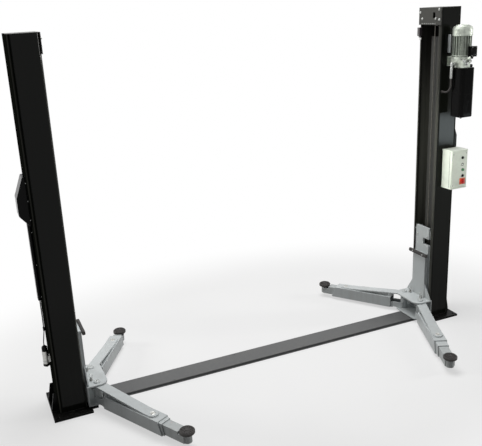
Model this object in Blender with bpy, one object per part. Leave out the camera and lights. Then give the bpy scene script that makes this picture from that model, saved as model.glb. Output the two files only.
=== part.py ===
"""Two post car lift: two open channel columns on base plates, joined by a flat floor cover.

Metres, +Z up. The origin is on the floor, midway between the columns. +X runs from the left
column to the right one and +Y away from the control side. Both columns are the same weldment,
the left one turned half a turn about Z, so each side is built in one local frame: x outward.
"""
import math

import bmesh
import bpy

# Columns, folded from 6 mm plate
COLUMN_GAP = 3.246
COLUMN_DEPTH = 0.213
COLUMN_WIDTH = 0.284
COLUMN_WALL = 0.006
COLUMN_TOP = 2.82
OUTER_BEND = 0.028
LIP_BEND = 0.024
LIP_WIDTH = 0.028
BEND_STEPS = 4

# Base plates, with their gussets and anchor holes
BASE_THICK = 0.018
BASE_HALF_WIDTH = 0.219
BASE_INNER = 0.08
BASE_STEP = 0.03
BASE_OUTER = 0.053
TONGUE_HALF_WIDTH = 0.165
ANCHOR_RADIUS = 0.0115
ANCHOR_EDGE = 0.03
ANCHOR_BACK = 0.05
GUSSET_HEIGHT = 0.15
GUSSET_THICK = 0.008
GUSSET_SPREAD = 0.085
GUSSET_CROWN = 0.024
GUSSET_TOE = 0.02

# Floor plate and its cover
FLOOR_PLATE_WIDTH = 0.198
FLOOR_PLATE_THICK = 0.005
COVER_WIDTH = 0.18
COVER_SHIFT = -0.012
COVER_TOP = 0.0235
COVER_WALL = 0.003

# Head plates, sheaves and ropes
HEAD_HEIGHT = 0.141
HEAD_WALL = 0.006
HEAD_SLOT_Y = -0.054
HEAD_SLOT_WIDTH = 0.03
HEAD_SLOT_HEIGHT = 0.046
HEAD_SLOT_DROP = 0.063
CHEEK_THICK = 0.008
CHEEK_HALF = 0.025
CHEEK_CLEARANCE = 0.006
SHEAVE_RADIUS = 0.055
SHEAVE_WIDTH = 0.024
SHEAVE_RIM = 0.006
SHEAVE_DROP = 0.105
AXLE_RADIUS = 0.012
ROPE_RADIUS = 0.0045
ROPE_DEPTH = 0.055

# Guard over the lifting cylinder and chain
GUARD_DEPTH = 0.07
GUARD_WIDTH = 0.12
GUARD_WALL = 0.003
GUARD_FLANGE = 0.014
GUARD_DROP = 0.24

# Carriages
CARRIAGE_TOP = 0.88
CARRIAGE_BOTTOM = 0.17
CARRIAGE_WALL = 0.008
CARRIAGE_WIDTH = 0.18
CARRIAGE_REACH = 0.10
GUIDE_DROP = 0.03
GUIDE_CHAMFER = 0.012
CARRIAGE_CORNER = 0.01
RUN_CLEARANCE = 0.007
NOTCH_LOW = 0.712
NOTCH_HEIGHT = 0.06
NOTCH_INSET = 0.011
APRON_TOP = 0.632
APRON_OUT = 0.03
APRON_WIDTH = 0.172
NECK_DROP = 0.01
WING_TOP = 0.34
WING_HALF_WIDTH = 0.165
WING_FOOT = 0.012
WING_THICK = 0.01
BRACKET_OUT = 0.176
BRACKET_WIDTH = 0.35
BRACKET_CORNER = 0.065
BRACKET_BOTTOM = 0.029
BRACKET_LOWER = 0.010
BRACKET_TOP = 0.199
BRACKET_UPPER = 0.012
BRACKET_BACK = 0.010
PIVOT_OUT = 0.095
PIVOT_SPREAD = 0.12
PIN_RADIUS = 0.019
PIN_FOOT = 0.002
PIN_HEAD_RADIUS = 0.026
PIN_HEAD_HEIGHT = 0.007
PIN_CLEARANCE = 0.0006
PIVOT_CLEARANCE = 0.002
SEAT_CLEARANCE = 0.0005
BLOCK_HEIGHT = 0.06
BLOCK_INSET = 0.012
LOCK_PIN_OUT = 0.035
LOCK_PIN_IN = 0.04
LOCK_PIN_RADIUS = 0.009
LOCK_PIN_RISE = 0.03
LOCK_PIN_LIFT = 0.007
GUARD_BAR_LENGTH = 0.24
GUARD_BAR_HEIGHT = 0.03
GUARD_BAR_OUT = 0.025
GUARD_BAR_RISE = 0.01
GUARD_BAR_EDGE = 0.006

# Swing arms
ARM_BOTTOM = 0.031
ARM_HEIGHT = 0.103
ARM_WIDTH = 0.108
ARM_WALL = 0.006
ARM_ROOT = 0.12
TUBE_CLEARANCE = 0.002
THREAD_CLEARANCE = 0.0004
MIDDLE_SETBACK = 0.03
INNER_SETBACK = 0.03
INNER_WALL = 0.005
STRAP_THICK = 0.010
STRAP_WIDTH = 0.086
STRAP_SETBACK = 0.05
STRAP_LEVEL = 0.064
STRAP_FLAT = 0.09
ROOT_PLATE = 0.03
SOLE_STEP = 0.095
SOLE_THICK = 0.008
SOLE_END = 0.14
CHEEK_TOP = 0.09
CHEEK_WALL = 0.008
BOSS_RADIUS = 0.034
GEAR_TIP = 0.050
GEAR_ROOT = 0.043
GEAR_TEETH = 12
GEAR_START = 75.0
GEAR_SPAN = 200.0
GEAR_THICK = 0.012
GEAR_TOP = 0.158
LONG_TUBE = 0.694
SHORT_TUBE = 0.665
END_SLANT = 0.038
MIDDLE_SLANT = 0.022
TUBE_NOSE = 0.012
PAD_SETBACK = 0.075
NOSE_SETBACK = 0.006

# Lifting pads
PAD_RADIUS = 0.056
PAD_THICK = 0.026
PAD_TOP = 0.137
PAD_RIM = 0.005
PAD_HUB = 0.03
SCREW_RADIUS = 0.0165
SCREW_CHAMFER = 0.003
SEAT_RADIUS = 0.033
SEAT_TOP = 0.1

# Arms as they stand: side, side of the carriage, swing from inward, and the two extensions
ARMS = (
    ("left_front", "left", 1, LONG_TUBE, 61.5, 0.02, 0.143),
    ("left_rear", "left", -1, SHORT_TUBE, 59.1, 0.0, 0.036),
    ("right_front", "right", -1, SHORT_TUBE, 66.7, 0.066, 0.125),
    ("right_rear", "right", 1, LONG_TUBE, 54.3, 0.0, 0.064),
)

# Lock covers on the back of the columns
LOCK_COVER_LOW = 1.505
LOCK_COVER_HIGH = 1.862
LOCK_COVER_OUT = 0.076
LOCK_COVER_WIDTH = 0.13
LOCK_COVER_FOOT = 0.012
LOCK_COVER_RISE = 0.08
LOCK_COVER_FALL = 0.15
LOCK_COVER_CROWN = 0.02

# Lock solenoids
SOLENOID_HEIGHT = 0.455
SOLENOID_RADIUS = 0.023
SOLENOID_STAND = 0.008
SOLENOID_BODY = 0.075
SOLENOID_CAP = 0.032
SOLENOID_NECK = 0.014
SOLENOID_FOOT_HALF = 0.018
SOLENOID_FOOT_HEIGHT = 0.05

# Limit switch
SWITCH_DROP = 0.193
SWITCH_SIZE = 0.028
SWITCH_BELOW = 0.04
SWITCH_ABOVE = 0.03
SWITCH_REACH = 0.01
LEVER_DROP = 0.03
LEVER_WIDTH = 0.008

# Power unit on the front of the right column, its heights measured down from the column's top
UNIT_SETBACK = 0.091
UNIT_OUT = 0.15
COWL_DROP = 0.145
MOTOR_DROP = 0.23
BLOCK_DROP = 0.398
TANK_DROP = 0.484
TANK_DEPTH = 0.411
TANK_WIDTH = 0.138
MOTOR_SHIFT_X = -0.01
MOTOR_SHIFT_Y = 0.02
TANK_CORNER = 0.03
TANK_EDGE = 0.008
CAP_RADIUS = 0.014
CAP_HEIGHT = 0.018
CAP_INSET = 0.02
FLANGE_RADIUS = 0.078
FLANGE_THICK = 0.014
BLOCK_LEFT = 0.05
BLOCK_RIGHT = 0.024
BLOCK_HALF = 0.05
UNIT_PLATE_HALF = 0.05
UNIT_PLATE_THICK = 0.008
UNIT_PLATE_HEIGHT = 0.08
UNIT_ARM_HALF = 0.04
UNIT_ARM_INSET = 0.012
MOTOR_RADIUS = 0.0765
FIN_DEPTH = 0.010
FIN_COUNT = 20
COWL_EXTRA = 0.004
COWL_SHOULDER = 0.032
COWL_TURN = 0.014
TERMINAL_HALF = 0.025
TERMINAL_OUT = 0.042
TERMINAL_HEIGHT = 0.08
TERMINAL_RISE = 0.004
TERMINAL_X = 0.025

# Control box on the front of the right column
BOX_SETBACK = 0.059
BOX_CLEARANCE = 0.301
BOX_HEIGHT = 0.343
BOX_WIDTH = 0.162
BOX_DEPTH = 0.125
BOX_EDGE = 0.004
BOX_CAP = 0.012
BOX_LIP = 0.004
DOOR_MARGIN = 0.018
DOOR_PROUD = 0.003
CONTROL_X = 0.036
UP_BUTTON_HEIGHT = 0.166
LOCK_BUTTON_HEIGHT = 0.113
MAIN_SWITCH_HEIGHT = 0.063
BUTTON_RADIUS = 0.011
BUTTON_PROUD = 0.008
BUTTON_SHANK = 0.010
WELL_DEPTH = 0.02
SWITCH_RADIUS = 0.02
SWITCH_PROUD = 0.012
SWITCH_GRIP = 0.026
SWITCH_GRIP_HALF = 0.006
STEM_RADIUS = 0.007

GAP = 0.0003
OVERLAP = 0.004
MARGIN = 0.01

for old in list(bpy.data.objects):
    bpy.data.objects.remove(old, do_unlink=True)

HALF_GAP = COLUMN_GAP / 2
HALF_WIDTH = COLUMN_WIDTH / 2
WEB = HALF_GAP + COLUMN_DEPTH
UNIT_X = WEB - UNIT_SETBACK
BOX_X = WEB - BOX_SETBACK
OPENING = HALF_WIDTH - LIP_WIDTH
BASE_IN = HALF_GAP - BASE_INNER
BASE_OUT = WEB + BASE_OUTER
ARM_TOP = ARM_BOTTOM + ARM_HEIGHT
PIVOT_X = HALF_GAP - PIVOT_OUT
ROOT_LOW = BRACKET_BOTTOM + BRACKET_LOWER + SEAT_CLEARANCE
ROOT_HIGH = BRACKET_TOP - BRACKET_UPPER - PIVOT_CLEARANCE
AXLE_Z = COLUMN_TOP - SHEAVE_DROP
AXLE_X = HALF_GAP + ROPE_DEPTH + ROPE_RADIUS + GAP + SHEAVE_RADIUS
TANK_HIGH = COLUMN_TOP - TANK_DROP
TANK_LOW = TANK_HIGH - TANK_DEPTH
BOX_LOW = TANK_LOW - BOX_CLEARANCE - BOX_HEIGHT
BLOCK_HIGH = COLUMN_TOP - BLOCK_DROP
MOTOR_HIGH = COLUMN_TOP - MOTOR_DROP
COWL_HIGH = COLUMN_TOP - COWL_DROP

MATERIALS = {}


def material(name, colour, roughness, metallic):
    surface = bpy.data.materials.new(name)
    surface.use_nodes = True
    shader = surface.node_tree.nodes["Principled BSDF"]
    shader.inputs["Base Color"].default_value = (*colour, 1.0)
    shader.inputs["Roughness"].default_value = roughness
    shader.inputs["Metallic"].default_value = metallic
    MATERIALS[name] = surface


material("black_paint", (0.012, 0.012, 0.013), 0.22, 0.0)
material("grey_paint", (0.42, 0.44, 0.45), 0.45, 0.0)
material("cover_paint", (0.11, 0.115, 0.12), 0.5, 0.0)
material("rubber", (0.02, 0.018, 0.016), 0.8, 0.0)
material("steel", (0.45, 0.45, 0.43), 0.35, 1.0)
material("cast_aluminium", (0.5, 0.51, 0.52), 0.4, 1.0)
material("box_plastic", (0.62, 0.65, 0.6), 0.5, 0.0)
material("black_plastic", (0.015, 0.015, 0.015), 0.4, 0.0)
material("green_plastic", (0.02, 0.22, 0.05), 0.35, 0.0)
material("red_plastic", (0.5, 0.02, 0.02), 0.35, 0.0)


def arc(centre, radius, start, end, steps):
    """Points on an arc, angles in degrees."""
    points = []
    for index in range(steps + 1):
        angle = math.radians(start + (end - start) * index / steps)
        points.append((centre[0] + radius * math.cos(angle), centre[1] + radius * math.sin(angle)))
    return points


def rounded_rectangle(low, high, radius, steps=3):
    (x0, y0), (x1, y1) = low, high
    points = arc((x1 - radius, y1 - radius), radius, 0, 90, steps)
    points += arc((x0 + radius, y1 - radius), radius, 90, 180, steps)
    points += arc((x0 + radius, y0 + radius), radius, 180, 270, steps)
    points += arc((x1 - radius, y0 + radius), radius, 270, 360, steps)
    return points


def circle(centre, radius, steps=24):
    return arc(centre, radius, 0, 360 * (steps - 1) / steps, steps - 1)


def new_object(name, mesh, surface, parent=None):
    item = bpy.data.objects.new(name, mesh)
    bpy.context.scene.collection.objects.link(item)
    if surface:
        mesh.materials.append(MATERIALS[surface])
    item.parent = parent
    return item


def prism(name, outline, low, high, surface=None, parent=None, plane="XY"):
    """Extrude an outline from low to high along the third axis of its plane."""
    place = {
        "XY": lambda a, b, c: (a, b, c),
        "XZ": lambda a, b, c: (a, c, b),
        "YZ": lambda a, b, c: (c, a, b),
    }[plane]
    work = bmesh.new()
    bottom = [work.verts.new(place(a, b, low)) for a, b in outline]
    top = [work.verts.new(place(a, b, high)) for a, b in outline]
    work.faces.new(bottom)
    work.faces.new(top)
    count = len(outline)
    for index in range(count):
        after = (index + 1) % count
        work.faces.new((bottom[index], bottom[after], top[after], top[index]))
    bmesh.ops.recalc_face_normals(work, faces=work.faces)
    mesh = bpy.data.meshes.new(name)
    work.to_mesh(mesh)
    work.free()
    return new_object(name, mesh, surface, parent)


def block(name, low, high, surface=None, parent=None):
    outline = ((low[0], low[1]), (high[0], low[1]), (high[0], high[1]), (low[0], high[1]))
    return prism(name, outline, low[2], high[2], surface, parent)


def turned(name, profile, surface=None, parent=None, steps=32):
    """Turn a closed (radius, height) profile about the local Z axis."""
    work = bmesh.new()
    rings = []
    for index in range(steps):
        angle = 2 * math.pi * index / steps
        ring = [work.verts.new((r * math.cos(angle), r * math.sin(angle), z)) for r, z in profile]
        rings.append(ring)
    count = len(profile)
    for index in range(steps):
        here = rings[index]
        after = rings[(index + 1) % steps]
        for step in range(count):
            following = (step + 1) % count
            work.faces.new((here[step], here[following], after[following], after[step]))
    bmesh.ops.remove_doubles(work, verts=work.verts, dist=1e-6)
    bmesh.ops.dissolve_degenerate(work, edges=work.edges, dist=1e-7)
    bmesh.ops.recalc_face_normals(work, faces=work.faces)
    mesh = bpy.data.meshes.new(name)
    work.to_mesh(mesh)
    work.free()
    item = new_object(name, mesh, surface, parent)
    mesh.shade_smooth()
    mesh.set_sharp_from_angle(angle=math.radians(35))
    return item


def bevel(item, width, limit=30):
    change = item.modifiers.new("edges", "BEVEL")
    change.width = width
    change.segments = 2
    change.limit_method = "ANGLE"
    change.angle_limit = math.radians(limit)
    return item


def combine(target, other, operation):
    """Add a hidden operand to a target, as a union or a difference."""
    change = target.modifiers.new(other.name, "BOOLEAN")
    change.operation = operation
    change.solver = "EXACT"
    change.object = other
    other.hide_render = True
    other.display_type = "WIRE"
    return target


def join(target, other):
    return combine(target, other, "UNION")


def cut(target, other):
    return combine(target, other, "DIFFERENCE")


def frame(name, location=(0, 0, 0), turn=0.0, parent=None):
    empty = bpy.data.objects.new(name, None)
    bpy.context.scene.collection.objects.link(empty)
    empty.location = location
    empty.rotation_euler = (0, 0, math.radians(turn))
    empty.parent = parent
    return empty


def column_outline():
    """Channel open towards -x, with lips, as a plan outline of constant wall."""
    def half(radius_out, lip_radius, inset):
        x_in = HALF_GAP + inset
        x_out = WEB - inset
        y = HALF_WIDTH - inset
        points = [(x_in, OPENING)]
        points += arc((x_in + lip_radius, y - lip_radius), lip_radius, 180, 90, BEND_STEPS)
        points += arc((x_out - radius_out, y - radius_out), radius_out, 90, 0, BEND_STEPS)
        return points

    outer = half(OUTER_BEND, LIP_BEND, 0.0)
    inner = half(OUTER_BEND - COLUMN_WALL, LIP_BEND - COLUMN_WALL, COLUMN_WALL)
    outer_all = outer + [(x, -y) for x, y in reversed(outer)]
    inner_all = inner + [(x, -y) for x, y in reversed(inner)]
    return outer_all + list(reversed(inner_all))


def base_plate(side, parent):
    """Anchor plate with a narrower tongue under the carriage and two gussets behind the column."""
    half = BASE_HALF_WIDTH
    tongue = TONGUE_HALF_WIDTH
    step = HALF_GAP - BASE_STEP
    outline = ((BASE_IN, -tongue), (step, -tongue), (step, -half), (BASE_OUT, -half),
               (BASE_OUT, half), (step, half), (step, tongue), (BASE_IN, tongue))
    plate = prism("base_plate_" + side, outline, 0, BASE_THICK, "black_paint", parent)
    foot = WEB + GAP
    low = BASE_THICK - OVERLAP
    toe = BASE_OUT - OVERLAP
    gusset = ((foot, low), (toe, low), (toe, BASE_THICK + GUSSET_TOE),
              (foot + GUSSET_CROWN, BASE_THICK + GUSSET_HEIGHT), (foot, BASE_THICK + GUSSET_HEIGHT))
    for sign in (-1, 1):
        y = sign * GUSSET_SPREAD
        rib = prism("gusset_%s_%d" % (side, sign), gusset, y - GUSSET_THICK / 2,
                    y + GUSSET_THICK / 2, None, parent, "XZ")
        join(plate, rib)
    spots = [(BASE_OUT - ANCHOR_EDGE, 0.0)]
    for sign in (-1, 1):
        spots.append((BASE_OUT - ANCHOR_EDGE, sign * (BASE_HALF_WIDTH - ANCHOR_EDGE)))
        spots.append((HALF_GAP + ANCHOR_BACK, sign * (BASE_HALF_WIDTH - ANCHOR_EDGE)))
    for number, spot in enumerate(spots):
        hole = prism("anchor_%s_%d" % (side, number), circle(spot, ANCHOR_RADIUS, 12), -MARGIN,
                     BASE_THICK + MARGIN, None, parent)
        cut(plate, hole)
    return plate


def head_plate(side, parent):
    """Plate across the lips at the top, with the cap that closes the column and the axle cheeks."""
    low = COLUMN_TOP - HEAD_HEIGHT
    face = HALF_GAP - GAP
    plate = block("head_plate_" + side, (face - HEAD_WALL, -HALF_WIDTH, low),
                  (face, HALF_WIDTH, COLUMN_TOP), "black_paint", parent)
    reach = OPENING - GAP
    behind = HALF_GAP + COLUMN_WALL + GAP
    wide = HALF_WIDTH - COLUMN_WALL - GAP
    far = WEB - COLUMN_WALL - GAP
    lip = LIP_BEND - COLUMN_WALL
    bend = OUTER_BEND - COLUMN_WALL
    half_cap = [(face - OVERLAP, reach), (behind, reach), (behind, wide - lip), (behind + lip, wide),
                (far - bend, wide), (far, wide - bend)]
    outline = half_cap + [(x, -y) for x, y in reversed(half_cap)]
    cap = prism("cap_" + side, outline, COLUMN_TOP - HEAD_WALL, COLUMN_TOP, None, parent)
    join(plate, cap)
    centre = COLUMN_TOP - HEAD_SLOT_DROP
    slot = block("head_slot_" + side,
                 (face - HEAD_WALL - MARGIN, HEAD_SLOT_Y - HEAD_SLOT_WIDTH / 2,
                  centre - HEAD_SLOT_HEIGHT / 2),
                 (face + MARGIN, HEAD_SLOT_Y + HEAD_SLOT_WIDTH / 2, centre + HEAD_SLOT_HEIGHT / 2),
                 None, parent)
    cut(plate, slot)
    for sign in (-1, 1):
        y = sign * (SHEAVE_WIDTH / 2 + CHEEK_CLEARANCE + CHEEK_THICK / 2)
        cheek = block("cheek_%s_%d" % (side, sign),
                      (AXLE_X - CHEEK_HALF, y - CHEEK_THICK / 2, AXLE_Z - CHEEK_HALF),
                      (AXLE_X + CHEEK_HALF, y + CHEEK_THICK / 2, COLUMN_TOP - HEAD_WALL / 2), None,
                      parent)
        join(plate, cheek)
    return plate


def sheave(side, parent):
    """Grooved rope sheave on its axle pin, one turned piece."""
    half = SHEAVE_WIDTH / 2
    pin = half + CHEEK_CLEARANCE - GAP
    rim = SHEAVE_RADIUS + SHEAVE_RIM
    lip = half - SHEAVE_RIM / 2
    profile = [(0.0, -pin), (AXLE_RADIUS, -pin), (AXLE_RADIUS, -half), (rim, -half), (rim, -lip),
               (SHEAVE_RADIUS, -ROPE_RADIUS), (SHEAVE_RADIUS, ROPE_RADIUS), (rim, lip), (rim, half),
               (AXLE_RADIUS, half), (AXLE_RADIUS, pin), (0.0, pin)]
    item = turned("head_sheave_" + side, profile, "steel", parent, 32)
    item.location = (AXLE_X, 0, AXLE_Z)
    item.rotation_euler = (math.pi / 2, 0, 0)
    return item


def rope(side, parent):
    """Synchronising rope over the head sheave, with both ends down at the base plate."""
    radius = SHEAVE_RADIUS + ROPE_RADIUS + GAP
    low = BASE_THICK + GAP
    points = [(AXLE_X - radius, low)]
    points += arc((AXLE_X, AXLE_Z), radius, 180, 0, 16)
    points.append((AXLE_X + radius, low))
    curve = bpy.data.curves.new("rope_" + side, "CURVE")
    curve.dimensions = "3D"
    curve.bevel_depth = ROPE_RADIUS
    curve.bevel_resolution = 2
    curve.use_fill_caps = True
    line = curve.splines.new("POLY")
    line.points.add(len(points) - 1)
    for point, (x, z) in zip(line.points, points):
        point.co = (x, 0, z, 1)
    item = bpy.data.objects.new("rope_" + side, curve)
    curve.materials.append(MATERIALS["steel"])
    bpy.context.scene.collection.objects.link(item)
    item.parent = parent
    return item


def cylinder_guard(side, parent):
    """Folded cover over the lifting cylinder and its chain, on the back wall of the column."""
    x0 = HALF_GAP + GUARD_DEPTH
    x1 = WEB - COLUMN_WALL - GAP
    wall = GUARD_WALL
    y = GUARD_WIDTH / 2
    flange = y + GUARD_FLANGE
    outline = [(x1, flange), (x1 - wall, flange), (x1 - wall, y), (x0, y), (x0, -y),
               (x1 - wall, -y), (x1 - wall, -flange), (x1, -flange), (x1, -y + wall),
               (x0 + wall, -y + wall), (x0 + wall, y - wall), (x1, y - wall)]
    return prism("cylinder_guard_" + side, outline, BASE_THICK + GAP, COLUMN_TOP - GUARD_DROP,
                 "black_paint", parent)


def bracket_plate(name, low, high, parent):
    """Plan of the arm bracket: straight against the carriage, rounded towards the arms."""
    half = BRACKET_WIDTH / 2
    corner = BRACKET_CORNER
    x0 = HALF_GAP - BRACKET_OUT
    x1 = HALF_GAP - RUN_CLEARANCE
    outline = arc((x0 + corner, half - corner), corner, 180, 90, 6)
    outline += [(x1, half), (x1, -half)]
    outline += arc((x0 + corner, -half + corner), corner, 270, 180, 6)
    return prism(name, outline, low, high, None, parent)


def carriage(side, parent):
    """Sliding carriage: guide box behind the lips, apron, wings, arm bracket and its pins."""
    front = HALF_GAP
    behind = HALF_GAP + COLUMN_WALL + RUN_CLEARANCE
    width = CARRIAGE_WIDTH / 2
    guide = HALF_WIDTH - COLUMN_WALL - RUN_CLEARANCE
    reach = HALF_GAP + CARRIAGE_REACH
    wall = CARRIAGE_WALL
    turn = GUIDE_CHAMFER
    half_guide = [(behind, guide - turn), (behind + turn, guide), (reach, guide),
                  (reach, guide - wall), (behind + turn, guide - wall),
                  (behind + wall, guide - turn)]
    outline = half_guide + [(x, -y) for x, y in reversed(half_guide)]
    body = prism("carriage_" + side, outline, CARRIAGE_BOTTOM, CARRIAGE_TOP - GUIDE_DROP,
                 "grey_paint", parent)
    join(body, block("front_plate_" + side, (front, -width, CARRIAGE_BOTTOM),
                     (behind + OVERLAP, width, CARRIAGE_TOP), None, parent))
    low = BRACKET_BOTTOM
    clear = front - RUN_CLEARANCE
    face = front - APRON_OUT
    half_apron = APRON_WIDTH / 2
    apron = block("apron_" + side, (face, -half_apron, low), (clear, half_apron, APRON_TOP), None,
                  parent)
    neck = block("neck_" + side, (clear - OVERLAP, -width, low),
                 (behind + wall, width, APRON_TOP - NECK_DROP), None, parent)
    join(body, apron)
    join(body, neck)
    half = WING_HALF_WIDTH
    wing = ((-half, BRACKET_TOP - OVERLAP), (half, BRACKET_TOP - OVERLAP),
            (half, BRACKET_TOP + WING_FOOT), (half_apron, WING_TOP),
            (-half_apron, WING_TOP), (-half, BRACKET_TOP + WING_FOOT))
    wings = prism("wings_" + side, wing, face + OVERLAP, face + OVERLAP + WING_THICK, None, parent,
                  "YZ")
    join(body, wings)
    half = BRACKET_WIDTH / 2
    relief = block("bracket_relief_" + side,
                   (front - BRACKET_OUT - MARGIN, -half - MARGIN, BRACKET_BOTTOM + BRACKET_LOWER),
                   (clear - BRACKET_BACK, half + MARGIN, BRACKET_TOP - BRACKET_UPPER), None, parent)
    cut(body, relief)
    join(body, bracket_plate("bracket_top_" + side, BRACKET_TOP - BRACKET_UPPER, BRACKET_TOP, parent))
    join(body, bracket_plate("bracket_bottom_" + side, BRACKET_BOTTOM,
                             BRACKET_BOTTOM + BRACKET_LOWER, parent))
    join(body, block("bracket_back_" + side, (clear - BRACKET_BACK, -half, BRACKET_BOTTOM),
                     (clear, half, BRACKET_TOP), None, parent))

    through = (front - MARGIN, behind + wall + OVERLAP)
    notch = block("notch_" + side, (through[0], -width - MARGIN, NOTCH_LOW),
                  (through[1], -NOTCH_INSET, NOTCH_LOW + NOTCH_HEIGHT), None, parent)
    cut(body, notch)
    round_off = CARRIAGE_CORNER
    for sign in (-1, 1):
        corner = arc((sign * (width - round_off), CARRIAGE_TOP - round_off), round_off, 90,
                     90 - sign * 90, 4)
        corner += [(sign * (width + MARGIN), CARRIAGE_TOP - round_off),
                   (sign * (width + MARGIN), CARRIAGE_TOP + MARGIN),
                   (sign * (width - round_off), CARRIAGE_TOP + MARGIN)]
        cut(body, prism("corner_%s_%d" % (side, sign), corner, through[0], through[1], None, parent,
                        "YZ"))

    near = HALF_GAP + LIP_BEND
    far = HALF_WIDTH - COLUMN_WALL - SEAT_CLEARANCE
    for sign in (-1, 1):
        inside = sign * (guide - wall / 2)
        pad = [(near, inside), (near, sign * far), (reach, sign * far), (reach, inside)]
        for number, low_z in enumerate((CARRIAGE_BOTTOM + BLOCK_INSET,
                                        CARRIAGE_TOP - GUIDE_DROP - BLOCK_INSET - BLOCK_HEIGHT)):
            join(body, prism("runner_%s_%d_%d" % (side, sign, number), pad, low_z,
                             low_z + BLOCK_HEIGHT, None, parent))
        spot = (PIVOT_X, sign * PIVOT_SPREAD)
        join(body, prism("pin_%s_%d" % (side, sign), circle(spot, PIN_RADIUS),
                         BRACKET_BOTTOM + PIN_FOOT, BRACKET_TOP + OVERLAP, None, parent))
        join(body, prism("pin_head_%s_%d" % (side, sign), circle(spot, PIN_HEAD_RADIUS),
                         BRACKET_TOP - OVERLAP, BRACKET_TOP + PIN_HEAD_HEIGHT, None, parent))
        spot = (PIVOT_X + LOCK_PIN_OUT, sign * (PIVOT_SPREAD - LOCK_PIN_IN))
        join(body, prism("lock_pin_%s_%d" % (side, sign), circle(spot, LOCK_PIN_RADIUS, 12),
                         GEAR_TOP + LOCK_PIN_LIFT, BRACKET_TOP + LOCK_PIN_RISE, None, parent))
    return body


def guard_bar(side, parent):
    """Rubber bar across the apron that keeps the car's door off the steel."""
    x1 = HALF_GAP - APRON_OUT - GAP
    high = APRON_TOP + GUARD_BAR_RISE
    half = GUARD_BAR_LENGTH / 2
    outline = rounded_rectangle((x1 - GUARD_BAR_OUT, high - GUARD_BAR_HEIGHT), (x1, high),
                                GUARD_BAR_EDGE, 2)
    return prism("door_guard_" + side, outline, -half, half, "rubber", parent, "XZ")


def tube(name, start, end, slant, half, low, high, wall, surface, parent):
    """Rectangular tube along x, its far end cut on a slant, open at both ends."""
    outer = ((start, low), (end + slant, low), (end, high), (start, high))
    item = prism(name, outer, -half, half, surface, parent, "XZ")
    hollow = block(name + "_hollow", (start - MARGIN, -half + wall, low + wall),
                   (end + slant + MARGIN, half - wall, high - wall), None, parent)
    return cut(item, hollow)


def gear_outline():
    """Toothed sector round the pivot, on the side that faces away from the arm."""
    points = []
    pitch = GEAR_SPAN / GEAR_TEETH
    for tooth in range(GEAR_TEETH):
        base = GEAR_START + tooth * pitch
        for part, radius in ((0.08, GEAR_ROOT), (0.3, GEAR_TIP), (0.7, GEAR_TIP), (0.92, GEAR_ROOT)):
            angle = math.radians(base + part * pitch)
            points.append((radius * math.cos(angle), radius * math.sin(angle)))
    return points


def outer_arm(name, length, pivot):
    """Outer tube with the strap that rises to the pivot, the sole with its cheeks, boss and gear."""
    low = ARM_BOTTOM
    half = ARM_WIDTH / 2
    width = STRAP_WIDTH / 2
    outer = tube("arm_" + name, ARM_ROOT, length, END_SLANT, half, low, ARM_TOP, ARM_WALL,
                 "grey_paint", pivot)
    strap_end = length - STRAP_SETBACK
    flat_start = strap_end - STRAP_FLAT
    level_top = ARM_TOP + STRAP_THICK
    sunk = ARM_TOP - ARM_WALL / 2
    side_view = ((0.0, ROOT_HIGH - STRAP_THICK), (0.0, ROOT_HIGH), (STRAP_LEVEL, ROOT_HIGH),
                 (flat_start, level_top), (flat_start + MARGIN, level_top),
                 (flat_start + MARGIN, sunk), (flat_start - STRAP_FLAT / 2, sunk),
                 (STRAP_LEVEL, ROOT_HIGH - STRAP_THICK))
    join(outer, prism("strap_" + name, side_view, -width, width, None, pivot, "XZ"))
    tip = arc((strap_end - width, 0.0), width, -90, 90, 8)
    tip += [(flat_start, width), (flat_start, -width)]
    join(outer, prism("strap_tip_" + name, tip, sunk, level_top, None, pivot))

    def strap_middle(x):
        slope = (level_top - ROOT_HIGH) / (flat_start - STRAP_LEVEL)
        return ROOT_HIGH - STRAP_THICK / 2 + slope * (x - STRAP_LEVEL)

    end = ARM_ROOT + ROOT_PLATE
    plate = ((ARM_ROOT, sunk), (end, sunk), (end, strap_middle(end)),
             (ARM_ROOT, strap_middle(ARM_ROOT)))
    join(outer, prism("root_plate_" + name, plate, -width, width, None, pivot, "XZ"))
    sole = ((0.0, ROOT_LOW), (SOLE_STEP, ROOT_LOW), (SOLE_STEP + OVERLAP, low + 0.001),
            (SOLE_END, low + 0.001), (SOLE_END, CHEEK_TOP - CHEEK_WALL), (SOLE_STEP, CHEEK_TOP),
            (0.0, CHEEK_TOP))
    trough = prism("sole_" + name, sole, -width, width, None, pivot, "XZ")
    hollow = block("trough_" + name, (-MARGIN, -width + CHEEK_WALL, ROOT_LOW + SOLE_THICK),
                   (SOLE_END + MARGIN, width - CHEEK_WALL, CHEEK_TOP + MARGIN), None, pivot)
    cut(trough, hollow)
    join(outer, trough)
    boss = prism("boss_" + name, circle((0, 0), BOSS_RADIUS), ROOT_LOW, ROOT_HIGH, None, pivot)
    join(outer, boss)
    join(outer, prism("gear_" + name, gear_outline(), GEAR_TOP - GEAR_THICK, GEAR_TOP, None, pivot))
    bore = prism("bore_" + name, circle((0, 0), PIN_RADIUS + PIN_CLEARANCE), ROOT_LOW - MARGIN,
                 ROOT_HIGH + MARGIN, None, pivot)
    return cut(outer, bore)


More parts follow.
